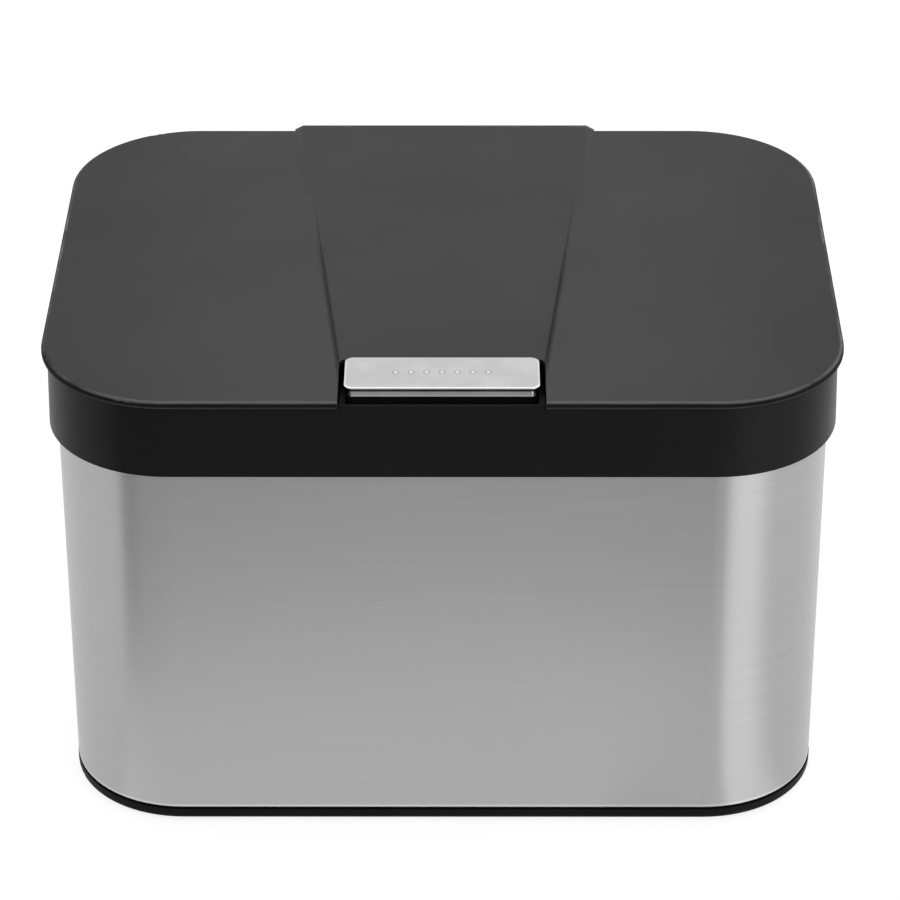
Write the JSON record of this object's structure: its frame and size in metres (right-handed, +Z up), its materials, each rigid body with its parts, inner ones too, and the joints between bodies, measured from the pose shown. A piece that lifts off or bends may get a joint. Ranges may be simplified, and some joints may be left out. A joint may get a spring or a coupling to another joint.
{
  "type": "push top countertop bin",
  "caption": "Rounded countertop waste bin with brushed steel wall, black collar and hinged lid opened by a plated push button, with a lift-out inner bucket.",
  "frame": {"origin": "on the table, under the middle of the lid's plan", "axes": "+Z up, -Y to the front where the push button is, +X to the right seen from the front"},
  "size_m": [0.264, 0.2012, 0.1686],
  "materials": {
    "black_moulding": "fine satin moulding",
    "lid_black": "smooth satin moulding",
    "steel_wall": "horizontal brushed grain",
    "fastener_steel": "zinc plated",
    "spring_steel": "drawn wire",
    "plated_cap": "bright plating over plastic",
    "rubber_pad": "matt rubber",
    "bucket_grey": "satin moulding",
    "acetal_white": "natural acetal",
    "damper_black": "smooth moulding"
  },
  "bodies": {
    "body": {"base_ring": "black_moulding", "floor_pan": "black_moulding", "base_screws": "fastener_steel", "foot_front_left": "rubber_pad", "foot_front_right": "rubber_pad", "foot_rear_left": "rubber_pad", "foot_rear_right": "rubber_pad", "steel_sleeve": "steel_wall", "rim_collar": "black_moulding", "button_housing": "black_moulding", "button_spring_left": "spring_steel", "button_spring_right": "spring_steel", "latch_spring": "spring_steel", "hinge_pin_left": "fastener_steel", "hinge_pin_right": "fastener_steel", "hinge_spring_left": "spring_steel", "hinge_spring_right": "spring_steel", "damper_body": "damper_black", "damper_screws": "fastener_steel"},
    "lid": {"lid_shell": "lid_black", "lid_inner_panel": "lid_black", "panel_screws": "fastener_steel", "lid_catch": "lid_black", "catch_screws": "fastener_steel", "lid_bumpers": "rubber_pad", "damper_sector": "acetal_white"},
    "rotor": {"damper_pinion": "acetal_white"},
    "button": {"button_cap": "plated_cap", "button_carrier": "black_moulding"},
    "slider": {"latch_slider": "acetal_white", "latch_tongue": "spring_steel"},
    "bucket": {"inner_bucket": "bucket_grey"}
  },
  "joints": [
    {"name": "lid_hinge", "type": "hinge", "parent": "body", "child": "lid", "pos_m": [0, 0.0955, 0.16085], "axis": [-1, 0, 0], "range_deg": [0, 90], "deforming": ["hinge_spring_left", "hinge_spring_right", "latch_tongue"]},
    {"name": "damper_spin", "type": "hinge", "parent": "body", "child": "rotor", "pos_m": [0, 0.08641, 0.1556], "axis": [-1, 0, 0], "range_deg": [-135.5, 0.5]},
    {"name": "button_press", "type": "slide", "parent": "body", "child": "button", "axis": [0, 0, -1], "range_m": [0, 0.003], "stiffness_N_per_m": 900, "springref_m": -0.003, "deforming": ["button_spring_left", "button_spring_right"]},
    {"name": "latch_slide", "type": "slide", "parent": "body", "child": "slider", "axis": [0, -1, 0], "range_m": [0, 0.003], "deforming": ["latch_spring"]},
    {"name": "bucket_lift", "type": "slide", "parent": "body", "child": "bucket", "axis": [0, 0, 1], "range_m": [0, 0.0125]}
  ],
  "couplings": [
    {"joint": "damper_spin", "follows": "lid_hinge", "ratio": -1.5},
    {"joint": "latch_slide", "follows": "button_press", "ratio": 1}
  ]
}
